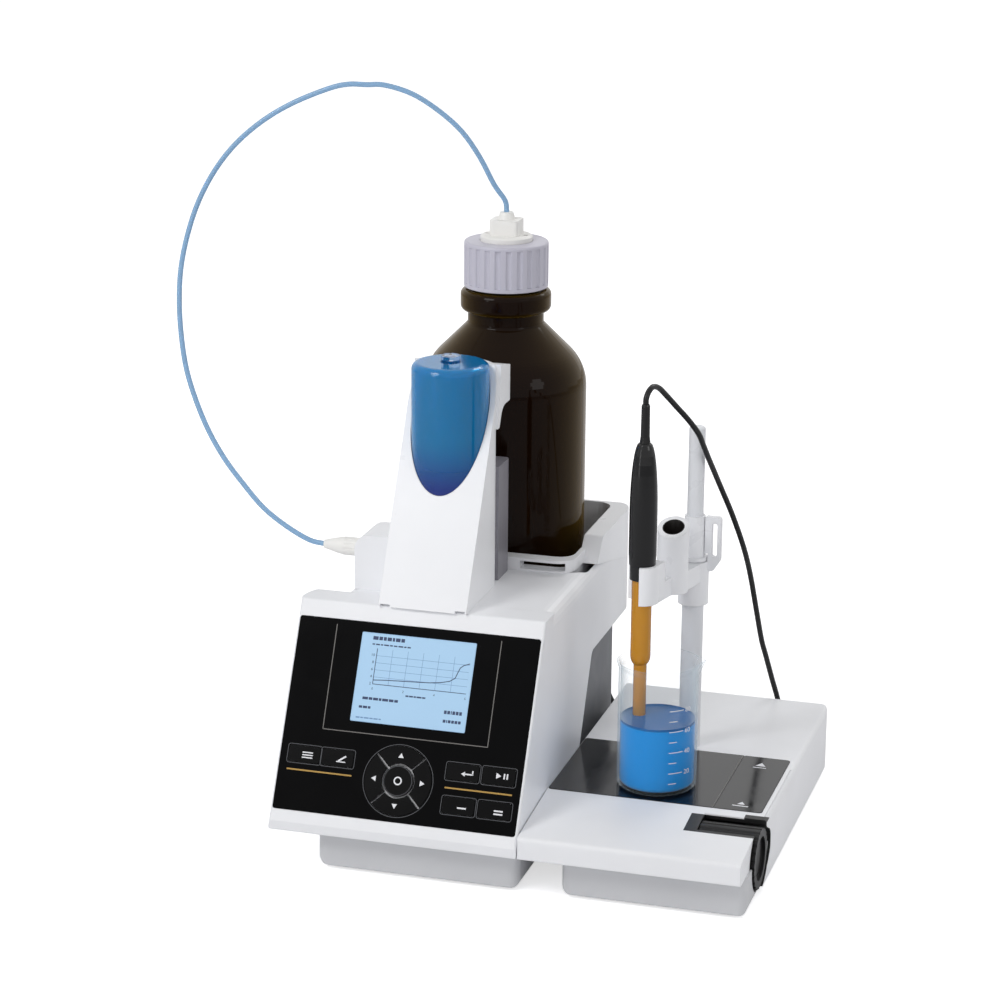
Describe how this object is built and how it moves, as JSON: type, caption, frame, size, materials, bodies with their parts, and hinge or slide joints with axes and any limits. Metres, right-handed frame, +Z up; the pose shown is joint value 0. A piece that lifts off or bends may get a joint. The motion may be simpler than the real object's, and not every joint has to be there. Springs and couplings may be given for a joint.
{
  "type": "automatic titrator",
  "caption": "Bench titrator: sloping keypad unit with a dosing tower, amber reagent bottle in a holder, and a magnetic stirrer with rod, clamp, electrode and beaker.",
  "frame": {"origin": "centre of the footprint of the instrument without its free hose and cable, on the table", "axes": "+X to the right seen from the keypad, +Y to the back, +Z up"},
  "size_m": [0.3915, 0.3276, 0.4366],
  "materials": {
    "white": "moulded white housing, fine matt",
    "white_soft": "satin white moulding",
    "grey_base": "mid grey moulded base",
    "dark_chassis": "dark grey moulding",
    "spine_grey": "grey cover, fine matt",
    "foot_rubber": "black rubber",
    "film_black": "black keypad film, satin",
    "display": "lit colour display behind a clear window",
    "key_black": "black keys",
    "board": "green circuit board",
    "motor": "dark motor housing",
    "steel": "turned steel",
    "socket_black": "black sockets",
    "nut_plastic": "slide bearing plastic",
    "ptfe": "white fluoropolymer",
    "glass_clear": "clear borosilicate glass",
    "cover_blue": "blue tinted clear plastic",
    "amber_glass": "dark amber glass",
    "cap_grey": "light grey ribbed cap",
    "hose_clear": "translucent bluish tubing",
    "plate_black": "black stirring plate",
    "roller_black": "ribbed black roller",
    "rod": "light coated rod",
    "clamp_white": "white clamp moulding",
    "electrode_black": "black electrode head",
    "shaft_amber": "electrode glass over an amber electrolyte",
    "cable_black": "black cable jacket"
  },
  "bodies": {
    "root": {"front_panel": "white", "keypad_film": "film_black", "display_module": "display", "housing": "white", "lower_chassis": "dark_chassis", "base_tray": "grey_base", "feet": "foot_rubber", "link_bracket": "dark_chassis", "main_board": "board", "piston_motor": "motor", "valve_motor": "motor", "rear_sockets": "socket_black", "stirrer_housing": "white", "stirrer_skirt": "grey_base", "stirrer_plate": "plate_black", "stirrer_motor": "motor", "stand_rod": "rod", "cable_lower": "cable_black", "cable_coil": "cable_black", "cable_plug": "electrode_black"},
    "key_up": {"key_up": "key_black"},
    "key_down": {"key_down": "key_black"},
    "key_left": {"key_left": "key_black"},
    "key_right": {"key_right": "key_black"},
    "key_ok": {"key_ok": "key_black"},
    "key_l1": {"key_l1": "key_black"},
    "key_l2": {"key_l2": "key_black"},
    "key_r1": {"key_r1": "key_black"},
    "key_r2": {"key_r2": "key_black"},
    "key_r3": {"key_r3": "key_black"},
    "key_r4": {"key_r4": "key_black"},
    "rocker": {"power_switch": "socket_black"},
    "spindle": {"drive_spindle": "steel"},
    "plunger": {"drive_pushrod": "nut_plastic"},
    "valve_drive": {"valve_coupling": "steel"},
    "dosing_unit": {"dosing_tower": "white_soft", "rear_cover": "spine_grey", "bottle_holder": "white_soft", "glass_cylinder": "glass_clear", "valve_body": "white_soft", "hose_fitting": "ptfe", "hose_lower": "hose_clear"},
    "piston": {"piston": "ptfe"},
    "valve_rotor": {"valve_rotor": "ptfe"},
    "uv_cover": {"uv_cover": "cover_blue"},
    "bottle": {"reagent_bottle": "amber_glass", "cap_adapter": "ptfe", "dip_tube": "ptfe", "hose_upper": "hose_clear"},
    "cap": {"bottle_cap": "cap_grey"},
    "roller": {"speed_roller": "roller_black"},
    "magnet": {"drive_magnet": "steel"},
    "clamp_bush": {"clamp_bush": "clamp_white"},
    "clamp": {"clamp_body": "clamp_white"},
    "electrode": {"electrode_head": "electrode_black", "electrode_shaft": "shaft_amber", "strain_relief": "electrode_black", "cable_upper": "cable_black"},
    "beaker": {"beaker": "glass_clear"},
    "stir_bar": {"stir_bar": "ptfe"}
  },
  "joints": [
    {"name": "key_up_press", "type": "slide", "parent": "root", "child": "key_up", "axis": [0, 0.891, -0.454], "range_m": [0, 0.0006], "stiffness_N_per_m": 400},
    {"name": "key_down_press", "type": "slide", "parent": "root", "child": "key_down", "axis": [0, 0.891, -0.454], "range_m": [0, 0.0006], "stiffness_N_per_m": 400},
    {"name": "key_left_press", "type": "slide", "parent": "root", "child": "key_left", "axis": [0, 0.891, -0.454], "range_m": [0, 0.0006], "stiffness_N_per_m": 400},
    {"name": "key_right_press", "type": "slide", "parent": "root", "child": "key_right", "axis": [0, 0.891, -0.454], "range_m": [0, 0.0006], "stiffness_N_per_m": 400},
    {"name": "key_ok_press", "type": "slide", "parent": "root", "child": "key_ok", "axis": [0, 0.891, -0.454], "range_m": [0, 0.0006], "stiffness_N_per_m": 400},
    {"name": "key_l1_press", "type": "slide", "parent": "root", "child": "key_l1", "axis": [0, 0.891, -0.454], "range_m": [0, 0.0006], "stiffness_N_per_m": 400},
    {"name": "key_l2_press", "type": "slide", "parent": "root", "child": "key_l2", "axis": [0, 0.891, -0.454], "range_m": [0, 0.0006], "stiffness_N_per_m": 400},
    {"name": "key_r1_press", "type": "slide", "parent": "root", "child": "key_r1", "axis": [0, 0.891, -0.454], "range_m": [0, 0.0006], "stiffness_N_per_m": 400},
    {"name": "key_r2_press", "type": "slide", "parent": "root", "child": "key_r2", "axis": [0, 0.891, -0.454], "range_m": [0, 0.0006], "stiffness_N_per_m": 400},
    {"name": "key_r3_press", "type": "slide", "parent": "root", "child": "key_r3", "axis": [0, 0.891, -0.454], "range_m": [0, 0.0006], "stiffness_N_per_m": 400},
    {"name": "key_r4_press", "type": "slide", "parent": "root", "child": "key_r4", "axis": [0, 0.891, -0.454], "range_m": [0, 0.0006], "stiffness_N_per_m": 400},
    {"name": "rocker_tilt", "type": "hinge", "parent": "root", "child": "rocker", "pos_m": [-0.1025, 0.122, 0.078], "axis": [1, 0, 0], "range_deg": [-8, 8]},
    {"name": "spindle_turn", "type": "hinge", "parent": "root", "child": "spindle", "pos_m": [-0.0665, -0.0215, 0.06], "axis": [0, 0, 1], "range_deg": [0, 5041]},
    {"name": "plunger_rise", "type": "slide", "parent": "root", "child": "plunger", "axis": [0, 0, 1], "range_m": [0, 0.07]},
    {"name": "valve_drive_turn", "type": "hinge", "parent": "root", "child": "valve_drive", "pos_m": [-0.1055, -0.034, 0.14], "axis": [0, 0, 1], "range_deg": [0, 90]},
    {"name": "dosing_unit_lift", "type": "slide", "parent": "root", "child": "dosing_unit", "axis": [0, 0, 1], "range_m": [0, 0.06]},
    {"name": "piston_rise", "type": "slide", "parent": "dosing_unit", "child": "piston", "axis": [0, 0, 1], "range_m": [0, 0.0701]},
    {"name": "valve_turn", "type": "hinge", "parent": "dosing_unit", "child": "valve_rotor", "pos_m": [-0.1055, -0.034, 0.16], "axis": [0, 0, 1], "range_deg": [0, 90]},
    {"name": "cover_lift", "type": "slide", "parent": "dosing_unit", "child": "uv_cover", "axis": [0, 0, 1], "range_m": [0, 0.09]},
    {"name": "bottle_lift", "type": "slide", "parent": "dosing_unit", "child": "bottle", "axis": [0, 0, 1], "range_m": [0, 0.06]},
    {"name": "cap_turn", "type": "hinge", "parent": "bottle", "child": "cap", "pos_m": [-0.0615, 0.077, 0.327], "axis": [0, 0, 1], "range_deg": [0, 90]},
    {"name": "roller_turn", "type": "hinge", "parent": "root", "child": "roller", "pos_m": [0.1225, -0.088, 0.023], "axis": [1, 0, 0], "range_deg": [-150, 0]},
    {"name": "magnet_spin", "type": "hinge", "parent": "root", "child": "magnet", "pos_m": [0.0685, -0.042, 0.032], "axis": [0, 0, 1], "continuous": true},
    {"name": "beaker_lift", "type": "slide", "parent": "root", "child": "beaker", "axis": [0, 0, 1], "range_m": [0, 0.025]},
    {"name": "stir_bar_spin", "type": "hinge", "parent": "beaker", "child": "stir_bar", "pos_m": [0.0685, -0.042, 0.049], "axis": [0, 0, 1], "continuous": true},
    {"name": "clamp_height", "type": "slide", "parent": "root", "child": "clamp_bush", "axis": [0, 0, 1], "range_m": [0, 0.05]},
    {"name": "clamp_swing", "type": "hinge", "parent": "clamp_bush", "child": "clamp", "pos_m": [0.0725, 0.027, 0.148], "axis": [0, 0, 1], "range_deg": [-1, 22]},
    {"name": "electrode_lift", "type": "slide", "parent": "clamp", "child": "electrode", "axis": [0, 0, 1], "range_m": [0, 0.02]}
  ],
  "couplings": [
    {"joint": "spindle_turn", "follows": "plunger_rise", "rad_per_m": 1256.6},
    {"joint": "piston_rise", "follows": "plunger_rise", "ratio": 1},
    {"joint": "valve_turn", "follows": "valve_drive_turn", "ratio": 1},
    {"joint": "stir_bar_spin", "follows": "magnet_spin", "ratio": 1}
  ]
}
